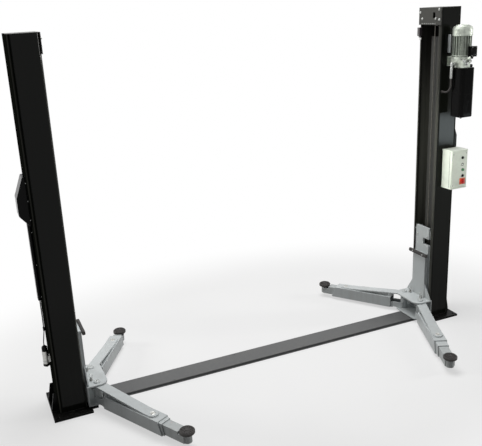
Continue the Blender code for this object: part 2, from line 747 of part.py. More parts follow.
def arm(name, side_frame, sign, length, swing, reach_mid, reach_inner):
    """One three-stage arm. Its frame is on the pivot pin, with +x along the arm."""
    turn = 180.0 - sign * swing
    pivot = frame("pivot_" + name, (PIVOT_X, sign * PIVOT_SPREAD, 0), turn, side_frame)
    outer_arm(name, length, pivot)
    half = ARM_WIDTH / 2
    step = ARM_WALL + TUBE_CLEARANCE
    mid_low = ARM_BOTTOM + ARM_WALL + SEAT_CLEARANCE
    mid_frame = frame("slide_" + name + "_middle", (reach_mid, 0, 0), 0, pivot)
    mid_start = ARM_ROOT + MIDDLE_SETBACK
    tube("arm_" + name + "_middle", mid_start, length + TUBE_NOSE, MIDDLE_SLANT, half - step,
         mid_low, ARM_TOP - step, INNER_WALL, "grey_paint", mid_frame)
    step_in = step + INNER_WALL + TUBE_CLEARANCE
    inner_low = mid_low + INNER_WALL + SEAT_CLEARANCE
    inner_frame = frame("slide_" + name + "_inner", (reach_inner, 0, 0), 0, mid_frame)
    seat = length + PAD_SETBACK
    inner = block("arm_" + name + "_inner", (mid_start + INNER_SETBACK, -half + step_in, inner_low),
                  (seat, half - step_in, ARM_TOP - step_in), "grey_paint", inner_frame)
    nose = block("nose_" + name, (length + TUBE_NOSE + NOSE_SETBACK, -half, SEAT_TOP),
                 (seat + MARGIN, half, ARM_TOP), None, inner_frame)
    cut(inner, nose)
    cup = prism("cup_" + name, circle((seat, 0), SEAT_RADIUS), inner_low, SEAT_TOP, None,
                inner_frame)
    join(inner, cup)
    thread = prism("thread_" + name, circle((seat, 0), SCREW_RADIUS + THREAD_CLEARANCE, 32),
                   ARM_BOTTOM, ARM_TOP, None, inner_frame)
    cut(inner, thread)
    pad_frame = frame("screw_" + name, (seat, 0, 0), 0, inner_frame)
    foot = ARM_BOTTOM + OVERLAP
    under = PAD_TOP - PAD_THICK
    hub = under - PAD_RIM
    rim = PAD_RIM
    profile = [(0.0, foot), (SCREW_RADIUS - SCREW_CHAMFER, foot),
               (SCREW_RADIUS, foot + SCREW_CHAMFER), (SCREW_RADIUS, hub), (PAD_HUB, hub),
               (PAD_HUB, under), (PAD_RADIUS - rim, under), (PAD_RADIUS, under + rim),
               (PAD_RADIUS, PAD_TOP - rim), (PAD_RADIUS - rim, PAD_TOP), (0.0, PAD_TOP)]
    turned("pad_" + name, profile, "rubber", pad_frame, 32)


def lock_cover(side, parent):
    """Folded cover over the safety lock on the back of a column."""
    x0 = WEB + GAP
    half = LOCK_COVER_WIDTH / 2
    outline = ((x0, LOCK_COVER_LOW), (x0 + LOCK_COVER_FOOT, LOCK_COVER_LOW),
               (x0 + LOCK_COVER_OUT, LOCK_COVER_LOW + LOCK_COVER_RISE),
               (x0 + LOCK_COVER_OUT, LOCK_COVER_HIGH - LOCK_COVER_FALL),
               (x0 + LOCK_COVER_CROWN, LOCK_COVER_HIGH), (x0, LOCK_COVER_HIGH))
    item = prism("lock_cover_" + side, outline, -half, half, "black_plastic", parent, "XZ")
    return bevel(item, 0.005)


def solenoid(side, parent):
    """Lock solenoid: coil body with a cap, on a foot that stands off the column."""
    x = WEB + GAP + SOLENOID_RADIUS + SOLENOID_STAND
    r = SOLENOID_RADIUS
    h = SOLENOID_HEIGHT
    low = h - SOLENOID_BODY
    high = h + SOLENOID_BODY - SOLENOID_CAP
    profile = [(0.0, low - SOLENOID_NECK), (r / 2, low - SOLENOID_NECK), (r / 2, low), (r, low),
               (r, high), (r * 0.8, high), (r * 0.8, high + SOLENOID_CAP),
               (0.0, high + SOLENOID_CAP)]
    item = turned("lock_solenoid_" + side, profile, "steel", parent, 24)
    item.location = (x, 0, 0)
    foot = block("solenoid_foot_" + side,
                 (-SOLENOID_RADIUS - SOLENOID_STAND, -SOLENOID_FOOT_HALF, h - SOLENOID_FOOT_HEIGHT),
                 (0.0, SOLENOID_FOOT_HALF, h), None, item)
    return join(item, foot)


def side_assembly(side, turn):
    parent = frame("side_" + side, (0, 0, 0), turn)
    prism("column_" + side, column_outline(), BASE_THICK + GAP, COLUMN_TOP, "black_paint", parent)
    base_plate(side, parent)
    head_plate(side, parent)
    sheave(side, parent)
    rope(side, parent)
    cylinder_guard(side, parent)
    lock_cover(side, parent)
    solenoid(side, parent)
    slide = frame("carriage_slide_" + side, (0, 0, 0), 0, parent)
    carriage(side, slide)
    guard_bar(side, slide)
    for name, arm_side, sign, length, swing, reach_mid, reach_inner in ARMS:
        if arm_side == side:
            arm(name, slide, sign, length, swing, reach_mid, reach_inner)


def floor_parts():
    end = BASE_IN - GAP
    half = FLOOR_PLATE_WIDTH / 2
    shift = COVER_SHIFT
    block("floor_plate", (-end, shift - half, 0), (end, shift + half, FLOOR_PLATE_THICK),
          "cover_paint")
    low = FLOOR_PLATE_THICK + GAP
    half = COVER_WIDTH / 2
    wall = COVER_WALL
    outline = ((-half, low), (-half, COVER_TOP), (half, COVER_TOP), (half, low), (half - wall, low),
               (half - wall, COVER_TOP - wall), (-half + wall, COVER_TOP - wall), (-half + wall, low))
    outline = [(shift + y, z) for y, z in outline]
    prism("floor_cover", outline, -end, end, "cover_paint", None, "YZ")


def limit_switch():
    """Top limit switch on the far lip of the right column, with its roller lever."""
    y0 = OPENING - SWITCH_REACH
    x1 = HALF_GAP - GAP
    x0 = x1 - SWITCH_SIZE
    z = COLUMN_TOP - SWITCH_DROP
    item = block("limit_switch", (x0, y0, z - SWITCH_BELOW), (x1, y0 + SWITCH_SIZE, z + SWITCH_ABOVE),
                 "black_plastic")
    middle = (x0 + x1) / 2
    lever = block("switch_lever",
                  (middle - LEVER_WIDTH / 2, y0, z - SWITCH_BELOW - LEVER_DROP),
                  (middle + LEVER_WIDTH / 2, y0 + LEVER_WIDTH, z - SWITCH_BELOW + MARGIN), None)
    join(item, lever)


def power_unit():
    """Motor with its cowl and terminal box on a flange and pump block, with the oil tank below."""
    y_face = -HALF_WIDTH - GAP
    y = -HALF_WIDTH - UNIT_OUT
    wall_y = y_face - y
    place = frame("power_unit_axis", (UNIT_X, y, 0))
    body = block("pump_block", (-BLOCK_LEFT, -BLOCK_HALF, TANK_HIGH + GAP),
                 (BLOCK_RIGHT, BLOCK_HALF, BLOCK_HIGH), "cast_aluminium", place)
    centre = (MOTOR_SHIFT_X, MOTOR_SHIFT_Y)
    join(body, prism("unit_flange", circle(centre, FLANGE_RADIUS, 12), BLOCK_HIGH - FLANGE_THICK,
                     BLOCK_HIGH, None, place))
    join(body, block("unit_arm", (-UNIT_ARM_HALF, 0.0, TANK_HIGH + UNIT_ARM_INSET),
                     (UNIT_ARM_HALF, wall_y - OVERLAP, BLOCK_HIGH - UNIT_ARM_INSET), None, place))
    plate_low = (TANK_HIGH + BLOCK_HIGH - UNIT_PLATE_HEIGHT) / 2
    join(body, block("unit_plate", (-UNIT_PLATE_HALF, wall_y - UNIT_PLATE_THICK, plate_low),
                     (UNIT_PLATE_HALF - OVERLAP, wall_y, plate_low + UNIT_PLATE_HEIGHT), None,
                     place))
    half = TANK_WIDTH / 2
    outline = rounded_rectangle((-half, -half), (half, half), TANK_CORNER, 4)
    tank = prism("tank", outline, TANK_LOW, TANK_HIGH, "black_plastic", place)
    bevel(tank, TANK_EDGE, 60)
    cap = prism("filler_cap", circle((half - CAP_INSET, -half + 2 * CAP_INSET), CAP_RADIUS, 16),
                TANK_HIGH - OVERLAP, TANK_HIGH + CAP_HEIGHT, None, place)
    join(tank, cap)
    motor_axis = frame("motor_axis", (MOTOR_SHIFT_X, MOTOR_SHIFT_Y, 0), 0, place)
    points = []
    pitch = 360.0 / FIN_COUNT
    for fin in range(FIN_COUNT):
        for part, radius in ((0.0, MOTOR_RADIUS - FIN_DEPTH), (0.55, MOTOR_RADIUS - FIN_DEPTH),
                             (0.6, MOTOR_RADIUS), (0.95, MOTOR_RADIUS)):
            angle = math.radians((fin + part) * pitch)
            points.append((radius * math.cos(angle), radius * math.sin(angle)))
    motor = prism("motor", points, BLOCK_HIGH + GAP, MOTOR_HIGH, "cast_aluminium", motor_axis)
    low = BLOCK_HIGH + TERMINAL_RISE
    join(motor, block("terminal_seat", (TERMINAL_X - TERMINAL_HALF, -MOTOR_RADIUS, low),
                      (TERMINAL_X + TERMINAL_HALF, -MOTOR_RADIUS / 2, low + TERMINAL_HEIGHT), None,
                      motor_axis))
    r = MOTOR_RADIUS + COWL_EXTRA
    z0 = MOTOR_HIGH + GAP
    profile = [(0.0, z0), (r, z0), (r, COWL_HIGH - COWL_SHOULDER),
               (r - COWL_TURN / 2, COWL_HIGH - COWL_TURN), (r - COWL_SHOULDER, COWL_HIGH),
               (0.0, COWL_HIGH)]
    turned("fan_cowl", profile, "cast_aluminium", motor_axis, 40)
    y1 = -MOTOR_RADIUS - GAP
    block("terminal_box", (TERMINAL_X - TERMINAL_HALF, y1 - TERMINAL_OUT, low),
          (TERMINAL_X + TERMINAL_HALF, y1, low + TERMINAL_HEIGHT), "black_plastic", motor_axis)


def control_box():
    """Enclosure with its end caps and door, two push buttons and the rotary main switch."""
    y_face = -HALF_WIDTH - GAP
    body_front = y_face - BOX_DEPTH
    front = body_front - DOOR_PROUD
    place = frame("control_box_axis", (BOX_X, 0, BOX_LOW))
    half = BOX_WIDTH / 2
    box = prism("control_box", rounded_rectangle((-half, 0), (half, BOX_HEIGHT), BOX_EDGE, 2),
                body_front, y_face, "box_plastic", place, "XZ")
    for number, low in enumerate((0.0, BOX_HEIGHT - BOX_CAP)):
        join(box, block("box_cap_%d" % number, (-half - BOX_LIP, body_front - BOX_LIP, low),
                        (half + BOX_LIP, y_face, low + BOX_CAP), None, place))
    door = rounded_rectangle((-half + BOX_EDGE, DOOR_MARGIN), (half - BOX_EDGE, BOX_HEIGHT - DOOR_MARGIN),
                             BOX_EDGE, 2)
    join(box, prism("door", door, front, body_front + OVERLAP, None, place, "XZ"))
    rows = (("up_button", UP_BUTTON_HEIGHT, "green_plastic"),
            ("lock_button", LOCK_BUTTON_HEIGHT, "black_plastic"))
    for name, height, surface in rows:
        well = prism(name + "_well", circle((CONTROL_X, height), BUTTON_RADIUS + SEAT_CLEARANCE, 16),
                     front - MARGIN, front + WELL_DEPTH, None, place, "XZ")
        cut(box, well)
        travel = frame(name + "_slide", (CONTROL_X, front, height), 0, place)
        prism(name, circle((0, 0), BUTTON_RADIUS, 16), -BUTTON_PROUD, BUTTON_SHANK, surface, travel,
              "XZ")
    height = MAIN_SWITCH_HEIGHT
    well = prism("main_switch_well", circle((CONTROL_X, height), STEM_RADIUS + PIN_CLEARANCE, 16),
                 front - MARGIN, front + WELL_DEPTH, None, place, "XZ")
    cut(box, well)
    axis = frame("main_switch_axis", (CONTROL_X, front, height), 0, place)
    knob = prism("main_switch", circle((0, 0), SWITCH_RADIUS, 20), -SWITCH_PROUD,
                 -2 * SEAT_CLEARANCE, "red_plastic", axis, "XZ")
    grip = block("main_switch_grip", (-SWITCH_GRIP_HALF, -SWITCH_GRIP, -SWITCH_RADIUS),
                 (SWITCH_GRIP_HALF, -SWITCH_PROUD / 2, SWITCH_RADIUS), None, axis)
    stem = prism("main_switch_stem", circle((0, 0), STEM_RADIUS, 16), -OVERLAP, SWITCH_PROUD, None,
                 axis, "XZ")
    join(knob, grip)
    join(knob, stem)


side_assembly("right", 0.0)
side_assembly("left", 180.0)
floor_parts()
limit_switch()
power_unit()
control_box()
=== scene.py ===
import math

import bmesh
import bpy
from mathutils import Euler, Matrix, Vector


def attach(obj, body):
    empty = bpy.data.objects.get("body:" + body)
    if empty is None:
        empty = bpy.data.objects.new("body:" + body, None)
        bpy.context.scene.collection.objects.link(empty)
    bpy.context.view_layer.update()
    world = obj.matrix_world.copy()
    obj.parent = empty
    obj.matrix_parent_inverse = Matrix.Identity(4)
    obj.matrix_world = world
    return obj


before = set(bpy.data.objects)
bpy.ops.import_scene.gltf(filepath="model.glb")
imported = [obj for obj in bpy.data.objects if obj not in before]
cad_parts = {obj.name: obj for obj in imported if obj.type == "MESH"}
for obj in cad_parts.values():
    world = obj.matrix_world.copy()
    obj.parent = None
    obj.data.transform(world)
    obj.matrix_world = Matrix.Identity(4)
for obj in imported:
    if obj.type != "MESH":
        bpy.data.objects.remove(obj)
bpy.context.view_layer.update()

# Camera: the photograph's viewpoint, solved from the outlines of columns, base plates, floor
# cover and arms. A plain perspective camera, slightly rolled, its eye near the columns' tops.
eye = Vector((-2.2506, -4.812, 2.9306))
yaw, pitch, roll = 0.38644, -0.30306, -0.05225
picture_width, picture_height, sensor = 482, 446, 36
view_length, centre_x, centre_y = 675.41, 230.5, 215.6
ahead = Vector((math.sin(yaw) * math.cos(pitch), math.cos(yaw) * math.cos(pitch), math.sin(pitch)))
level = Vector((math.cos(yaw), -math.sin(yaw), 0.0))
upward = level.cross(ahead)
aside = level * math.cos(roll) + upward * math.sin(roll)
upright = upward * math.cos(roll) - level * math.sin(roll)
camera = bpy.data.objects.new("camera", bpy.data.cameras.new("camera"))
bpy.context.scene.collection.objects.link(camera)
stand = Matrix((aside, upright, -ahead)).transposed().to_4x4()
stand.translation = eye
camera.matrix_world = stand
camera.data.sensor_width = sensor
camera.data.lens = view_length * sensor / picture_width
camera.data.shift_x = (picture_width / 2 - centre_x) / picture_width
camera.data.shift_y = (centre_y - picture_height / 2) / picture_width
bpy.context.scene.camera = camera
bpy.context.scene.view_settings.view_transform = "Standard"


# Floor and light: a pale level floor that turns plain white well away from the lift. Wide soft
# lamps light it from overhead, left rear and right. A low window and a narrow lamp on the
# camera's side are dim, for the shine on the black paint, power unit and control box.
class Wire:
    """A socket of a material's nodes. Arithmetic on it adds the Math or Vector Math nodes."""

    def __init__(self, tree, socket=None):
        self.tree = tree
        self.socket = socket

    def node(self, kind, settings=None, values=None, output=0):
        """A node of any type: its settings first, then its sockets' values or links."""
        made = self.tree.nodes.new(kind)
        for name, value in (settings or {}).items():
            setattr(made, name, value)
        for name, value in (values or {}).items():
            self.feed(made.inputs[name], value)
        return Wire(self.tree, made.outputs[output])

    def feed(self, socket, value):
        if isinstance(value, Wire):
            self.tree.links.new(value.socket, socket)
        elif isinstance(value, tuple) and len(value) < len(socket.default_value):
            socket.default_value = (*value, 1.0)
        else:
            socket.default_value = value

    def math(self, operation, *values):
        return self.node("ShaderNodeMath", {"operation": operation}, dict(enumerate(values)))

    def __add__(self, other):
        return self.math("ADD", self, other)

    def __radd__(self, other):
        return self.math("ADD", other, self)

    def __sub__(self, other):
        return self.math("SUBTRACT", self, other)

    def __rsub__(self, other):
        return self.math("SUBTRACT", other, self)

    def __mul__(self, other):
        return self.math("MULTIPLY", self, other)

    def __rmul__(self, other):
        return self.math("MULTIPLY", other, self)

    def __abs__(self):
        return self.math("ABSOLUTE", self)

    def top(self, other):
        return self.math("MAXIMUM", self, other)

    def between(self, low, high, start=0.0, end=1.0):
        """This value's smooth step from low to high, given as start to end."""
        span = {"Value": self, "From Min": low, "From Max": high, "To Min": start, "To Max": end}
        return self.node("ShaderNodeMapRange", {"interpolation_type": "SMOOTHSTEP"}, span)

    def blend(self, bare, full):
        """A colour that is bare where this mask is 0 and full where it is 1."""
        return self.node("ShaderNodeMix", {"data_type": "RGBA"}, {0: self, 6: bare, 7: full}, 2)

    def stretch(self, scale):
        """This place with its axes scaled, for grain that runs one way."""
        return self.node("ShaderNodeVectorMath", {"operation": "MULTIPLY"}, {0: self, 1: scale})

    def axis(self, index):
        return self.node("ShaderNodeSeparateXYZ", None, {0: self}, index)

    def noise(self, scale, detail=3.0, rough=0.5):
        return self.node("ShaderNodeTexNoise", None,
                         {"Vector": self, "Scale": scale, "Detail": detail, "Roughness": rough})


def material(name):
    """A new material with its shader, and a wire at the place on the object."""
    made = bpy.data.materials.new(name)
    made.use_nodes = True
    tree = made.node_tree
    place = Wire(tree).node("ShaderNodeTexCoord", output=3)
    return made, tree.nodes["Principled BSDF"], place


def in_view(wire):
    """1 for what the camera sees, straight, mirrored or through glass, and 0 for soft light."""
    straight, mirrored, through = [wire.node("ShaderNodeLightPath", output=way)
                                   for way in (0, 3, 6)]
    return straight.top(mirrored).top(through)


def soft_light(name, place, aim, width, height, power, colour=(1.0, 1.0, 1.0), spread=180):
    lamp = bpy.data.lights.new(name, "AREA")
    lamp.shape = "RECTANGLE"
    lamp.size = width
    lamp.size_y = height
    lamp.energy = power
    lamp.spread = math.radians(spread)
    lamp.color = colour
    item = bpy.data.objects.new(name, lamp)
    bpy.context.scene.collection.objects.link(item)
    item.location = place
    item.rotation_euler = (Vector(aim) - Vector(place)).to_track_quat("-Z", "Y").to_euler()


floor_half, floor_near, floor_far, floor_level = 14, -12, 16, -0.0005
floor_mesh = bpy.data.meshes.new("workshop_floor")
floor_mesh.from_pydata([(x, y, floor_level) for x, y in (
    (-floor_half, floor_near), (floor_half, floor_near),
    (floor_half, floor_far), (-floor_half, floor_far))], [], [(0, 1, 2, 3)])
floor = bpy.data.objects.new("workshop_floor", floor_mesh)
bpy.context.scene.collection.objects.link(floor)
pale, shader, place = material("pale_floor")
looked_at = in_view(place)
cloud = place.noise(0.7, 2.0).between(0.3, 0.7).blend((0.64, 0.64, 0.64), (0.68, 0.68, 0.68))
place.feed(shader.inputs["Base Color"], looked_at.blend((0.22, 0.22, 0.22), cloud))
shader.inputs["Roughness"].default_value = 0.9
shader.inputs["Specular IOR Level"].default_value = 0.1
away = place.node("ShaderNodeVectorMath", {"operation": "LENGTH"},
                  {0: place.stretch((0.36, 0.5, 0.0))}, 1).between(0.75, 1.35, 0.55, 1.0)
glow = place.node("ShaderNodeEmission", None, {"Color": (1.0, 1.0, 1.0), "Strength": 1.0})
surface = place.node("ShaderNodeMixShader", None,
                     {0: away * looked_at, 1: Wire(place.tree, shader.outputs[0]), 2: glow})
place.feed(place.tree.nodes["Material Output"].inputs["Surface"], surface)
floor_mesh.materials.append(pale)

world = bpy.data.worlds.new("studio")
world.use_nodes = True
bpy.context.scene.world = world
sky = Wire(world.node_tree)
backdrop = world.node_tree.nodes["Background"]
backdrop.inputs["Color"].default_value = (1.0, 1.0, 1.0, 1.0)
sky.feed(backdrop.inputs["Strength"], in_view(sky) * 0.88 + 0.12)

warm, cool, pale_green = (1.0, 0.99, 0.96), (0.85, 0.97, 1.0), (0.98, 1.0, 0.93)
soft_light("overhead", (0.2, 0.8, 6.0), (0.1, 0.2, 0.0), 4.0, 3.0, 300.0)
soft_light("left_rear", (-7.0, 5.0, 3.6), (0.8, 0.0, 0.6), 2.0, 2.4, 260.0, warm)
soft_light("right_side", (8.5, -2.5, 3.2), (-0.8, 0.2, 0.6), 0.8, 2.4, 190.0, warm)
soft_light("low_window", (5.9, -5.0, 0.62), (1.73, -0.14, 1.75), 1.2, 0.5, 1.7, cool, 60)
soft_light("unit_light", (-3.2, -3.0, 2.6), (1.8, -0.3, 1.6), 0.5, 0.5, 2.6, pale_green, 18)


# Floor plate and cover: the plate between the columns and the folded sheet over the ropes, in
# dark grey enamel that wheels and feet scuff. Low dome screws in pairs hold the cover to the
# plate and are painted over with it.
def enamel(name, colour, dust_colour, roughness, gloss, peel, edge_colour, edge_width=0.003,
           within=None):
    """Paint with a faint orange peel, dust and scuffs low down, and edges worn to a thin line."""
    made, shader, place = material(name)
    patches = place.noise(5.0, 4.0, 0.6)
    streaks = place.stretch((30.0, 30.0, 1.2)).noise(1.0, 4.0, 0.6)
    low_down = place.axis(2).between(0.5, 0.0)
    dust = (streaks * 0.6 + patches * 0.4).between(0.42, 0.75) * (low_down * 0.35 + 0.1)
    rounded = place.node("ShaderNodeBevel", {"samples": 6}, {"Radius": edge_width})
    flat = place.node("ShaderNodeNewGeometry", output=1)
    close = place.node("ShaderNodeVectorMath", {"operation": "DOT_PRODUCT"},
                       {0: rounded, 1: flat}, 1)
    worn = (1 - close).between(0.02, 0.35) * place.noise(60.0, 3.0).between(0.35, 0.6)
    paint = dust.blend(colour, dust_colour)
    # a paint by place, such as the painted light inside the column channels
    if within:
        paint = within(place, streaks, paint)
    place.feed(shader.inputs["Base Color"], (worn * 0.6).blend(paint, edge_colour))
    place.feed(shader.inputs["Roughness"],
               patches.between(0.35, 0.7) * 0.06 + dust * 0.35 + roughness)
    ripple = {"Strength": peel, "Distance": 0.001, "Height": place.noise(240.0, 2.0),
              "Normal": rounded}
    place.feed(shader.inputs["Normal"], place.node("ShaderNodeBump", None, ripple))
    shader.inputs["Specular IOR Level"].default_value = gloss
    return made


def dress(finish, *names):
    """Give these CAD nodes a finish in place of their plain one."""
    for name in names:
        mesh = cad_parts[name].data
        mesh.materials.clear()
        mesh.materials.append(finish)


def facing(spot, way="up"):
    """A seat at a spot, its z axis up, down, in to the other column, out or to the front."""
    turn = {"up": (0, 0, 0), "down": (180, 0, 0), "in": (0, -90, 0), "out": (0, 90, 0),
            "front": (90, 0, 0)}[way]
    angles = Euler([math.radians(angle) for angle in turn])
    return Matrix.Translation(spot) @ angles.to_matrix().to_4x4()


def skin(work, rings, closed=False):
    """Join rings of points into a skin, with both ends capped unless it closes on itself."""
    count = len(rings[0])
    pairs = list(zip(rings, rings[1:]))
    if closed:
        pairs.append((rings[-1], rings[0]))
    for lower, upper in pairs:
        for step in range(count):
            after = (step + 1) % count
            work.faces.new((lower[step], lower[after], upper[after], upper[step]))
    if not closed:
        work.faces.new(list(reversed(rings[0])))
        work.faces.new(rings[-1])


def turned(work, seat, profile, steps=20):
    """Turn (radius, height) points about the z axis of a seat."""
    rings = []
    for radius, height in profile:
        ring = []
        for step in range(steps):
            angle = math.tau * step / steps
            ring.append(work.verts.new(seat @ Vector((radius * math.cos(angle),
                                                      radius * math.sin(angle), height))))
        rings.append(ring)
    skin(work, rings)


def dome_screw(work, seat, size=0.006):
    turned(work, seat, ((size, 0.0), (size * 0.97, size * 0.2), (size * 0.7, size * 0.5),
                        (size * 0.3, size * 0.58), (size * 0.25, size * 0.3)), 16)


def fitted(work, name, finish, body):
    """Make one piece of the mesh, give it its finish and fix it to its body."""
    bmesh.ops.recalc_face_normals(work, faces=work.faces)
    mesh = bpy.data.meshes.new(name)
    work.to_mesh(mesh)
    work.free()
    mesh.shade_smooth()
    mesh.set_sharp_from_angle(angle=math.radians(38.0))
    mesh.materials.append(finish)
    item = bpy.data.objects.new(name, mesh)
    bpy.context.scene.collection.objects.link(item)
    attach(item, body)


cover_grey = enamel("cover_grey", (0.085, 0.087, 0.088), (0.16, 0.158, 0.15), 0.42, 0.4,
                    0.06, (0.3, 0.3, 0.3))
dress(cover_grey, "floor_plate", "floor_cover")
cover_top, cover_front, cover_rear = 0.0231, -0.088, 0.064
work = bmesh.new()
for x in (-1.45, -0.9, -0.3, 0.3, 0.9, 1.45):
    for y in (cover_front, cover_rear):
        dome_screw(work, facing((x, y, cover_top)))
fitted(work, "cover_screws", cover_grey, "frame")


# Columns: channels of folded plate on base plates, in black enamel, glossy on the side walls,
# matt on the back. Inside the channel and on its lips a paler streaked grey is painted light,
# standing in for the light on the inner walls. Fillet welds in short stacked ripples, painted
# over, join each column and its two gussets to the base plate.
def channel_painted_light(place, streaks, paint):
    """Painted light: a paler, streaked grey before the channel's back wall and between its side
    walls.
    """
    inside = abs(place.axis(0)).between(1.8325, 1.8315) * abs(place.axis(1)).between(0.138, 0.137)
    # this paler grey is painted light inside the channel, much lighter than the enamel outside
    return (inside * streaks.between(0.2, 0.7, 0.5, 1.0)).blend(paint, (0.085, 0.085, 0.075))


def bent_rod(work, seat, path, radius, sides, ripple=0.0):
    """A round bar along a path in a seat; ripple swells its radius like a weld bead."""
    points = [seat @ Vector(point) for point in path]
    rings = []
    across = None
    for step, point in enumerate(points):
        run = (points[min(step + 1, len(points) - 1)] - points[max(step - 1, 0)]).normalized()
        if across is None:
            across = run.orthogonal().normalized()
        across = (across - run * across.dot(run)).normalized()
        other = run.cross(across)
        thick = radius * (1 + ripple * math.sin(step * 2.1))
        ring = []
        for corner in range(sides):
            angle = math.tau * corner / sides
            ring.append(work.verts.new(point + (across * math.cos(angle)
                                                + other * math.sin(angle)) * thick))
        rings.append(ring)
    skin(work, rings)


ripple_pitch, ripple_swell, thin_bead, thick_bead = 0.005, 0.18, 0.003, 0.0035


def weld_bead(work, seat, start, end, radius=thin_bead):
    """A weld bead between two points, one ripple for every few millimetres."""
    start, end = Vector(start), Vector(end)
    steps = max(4, int((end - start).length / ripple_pitch))
    path = [start.lerp(end, step / steps) for step in range(steps + 1)]
    bent_rod(work, seat, path, radius, 6, ripple_swell)


black_enamel = enamel("black_enamel", (0.008, 0.008, 0.0075), (0.035, 0.034, 0.032), 0.14, 0.05,
                      0.05, (0.10, 0.10, 0.105))
dress(black_enamel, "base_plate_left", "base_plate_right")
# its paint by place is painted light: a paler streaked grey inside each channel and on its lips
column_enamel = enamel("column_enamel", (0.0085, 0.0095, 0.0075), (0.03, 0.03, 0.027), 0.3,
                       0.0, 0.05, (0.10, 0.10, 0.105), within=channel_painted_light)
shader = column_enamel.node_tree.nodes["Principled BSDF"]
place = Wire(column_enamel.node_tree).node("ShaderNodeTexCoord", output=3)
place.feed(shader.inputs["Coat Weight"], abs(place.axis(0)).between(1.815, 1.805, 0.0, 0.2))
shader.inputs["Coat Roughness"].default_value = 0.08
dress(column_enamel, "column_left", "column_right")

as_built, half_turn = Matrix.Identity(4), Matrix.Rotation(math.pi, 4, "Z")
SIDES = (("right", as_built), ("left", half_turn))
foot, side_wall, web, web_half, lip, bend_start = 0.0185, 0.1425, 1.8365, 0.075, 1.65, 1.805
gusset_y, gusset_half, gusset_long, gusset_high = 0.085, 0.005, 0.046, 0.16
for side, turn in SIDES:
    work = bmesh.new()
    for sign in (-1, 1):
        weld_bead(work, turn, (lip, sign * side_wall, foot), (bend_start, sign * side_wall, foot),
                  thick_bead)
        for edge in (-gusset_half, gusset_half):
            y = sign * gusset_y + edge
            weld_bead(work, turn, (web + 0.004, y, foot), (web + gusset_long, y, foot))
            weld_bead(work, turn, (web + 0.001, y, foot), (web + 0.001, y, gusset_high))
    weld_bead(work, turn, (web, -web_half, foot), (web, web_half, foot), thick_bead)
    fitted(work, "foot_welds_" + side, black_enamel, "frame")


# Head plates: a plate across the top of each channel, in worn satin black. Five hex bolts with
# washers hold it and a row of rivets runs along its lower edge, all zinc plated and facing the
# other column.
def metal(name, colour, stain, roughness, grain):
    """Bare or plated metal with a fine grain and stained patches."""
    made, shader, place = material(name)
    patches = place.noise(40.0, 4.0, 0.6).between(0.35, 0.75)
    fine = place.noise(grain, 3.0)
    place.feed(shader.inputs["Base Color"], (patches * 0.6).blend(colour, stain))
    place.feed(shader.inputs["Roughness"], patches * 0.15 + fine * 0.1 + roughness)
    ripple = {"Strength": 0.15, "Distance": 0.0005, "Height": fine}
    place.feed(shader.inputs["Normal"], place.node("ShaderNodeBump", None, ripple))
    shader.inputs["Metallic"].default_value = 1.0
    return made


def hex_bolt(work, seat, size=0.007, rise=0.006):
    """Hex head with its corners turned off, on a washer."""
    turned(work, seat, ((size * 1.5, 0.0), (size * 1.5, 0.0012), (size * 1.4, 0.0018)))
    turned(work, seat, ((size, 0.0015), (size, rise * 0.8), (size * 0.86, rise)), 6)
    turned(work, seat, ((size * 0.5, rise - 0.001), (size * 0.5, rise + 0.002),
                        (size * 0.35, rise + 0.003)), 12)


head_satin = enamel("head_satin", (0.06, 0.06, 0.054), (0.075, 0.072, 0.066), 0.36, 0.15, 0.08,
                    (0.12, 0.12, 0.12))
dress(head_satin, "head_plate_left", "head_plate_right")
zinc = metal("zinc_plate", (0.4, 0.41, 0.4), (0.22, 0.215, 0.2), 0.34, 400.0)
head_face = 1.6166
head_bolts = ((-0.122, 2.722), (-0.116, 2.803), (-0.075, 2.729), (0.098, 2.729), (0.126, 2.78))
rivet_start, rivet_pitch, rivet_row = -0.07, 0.028, 2.688
for side, turn in SIDES:
    work = bmesh.new()
    for y, z in head_bolts:
        hex_bolt(work, turn @ facing((head_face, y, z), "in"))
    for step in range(7):
        rivet = (head_face, rivet_start + step * rivet_pitch, rivet_row)
        dome_screw(work, turn @ facing(rivet, "in"), 0.005)
    fitted(work, "head_plate_bolts_" + side, zinc, "frame")

# Sheaves, ropes and guards: a turned steel sheave in each head with the greased wire rope that
# keeps both carriages level, and a folded sheet guard, dull black, over cylinder and chain.
bare_steel = metal("bare_steel", (0.5, 0.5, 0.48), (0.3, 0.29, 0.27), 0.3, 300.0)
dress(bare_steel, "head_sheave_left", "head_sheave_right")
greased_rope = metal("greased_rope", (0.14, 0.135, 0.12), (0.08, 0.075, 0.065), 0.45, 300.0)
dress(greased_rope, "rope_left", "rope_right")
guard_black = enamel("guard_black", (0.03, 0.03, 0.027), (0.08, 0.075, 0.07), 0.45, 0.4, 0.08,
                     (0.08, 0.08, 0.08))
dress(guard_black, "cylinder_guard_left", "cylinder_guard_right")


# Lock covers: satin black sheet over the safety lock, with a flange down each side and screws
# through it. A folded duct below takes the release rod, which runs through a guide down to the
# solenoid.
def moulded(name, colour, dust_colour, roughness, grain, depth, gloss=0.5):
    """Plastic, rubber or satin sheet, with a fine grain and random patches of dust colour."""
    made, shader, place = material(name)
    patches = place.noise(28.0, 4.0, 0.6).between(0.4, 0.75)
    place.feed(shader.inputs["Base Color"], (patches * 0.5).blend(colour, dust_colour))
    place.feed(shader.inputs["Roughness"], patches * 0.12 + roughness)
    ripple = {"Strength": depth, "Distance": 0.001, "Height": place.noise(grain, 2.0)}
    place.feed(shader.inputs["Normal"], place.node("ShaderNodeBump", None, ripple))
    shader.inputs["Specular IOR Level"].default_value = gloss
    return made


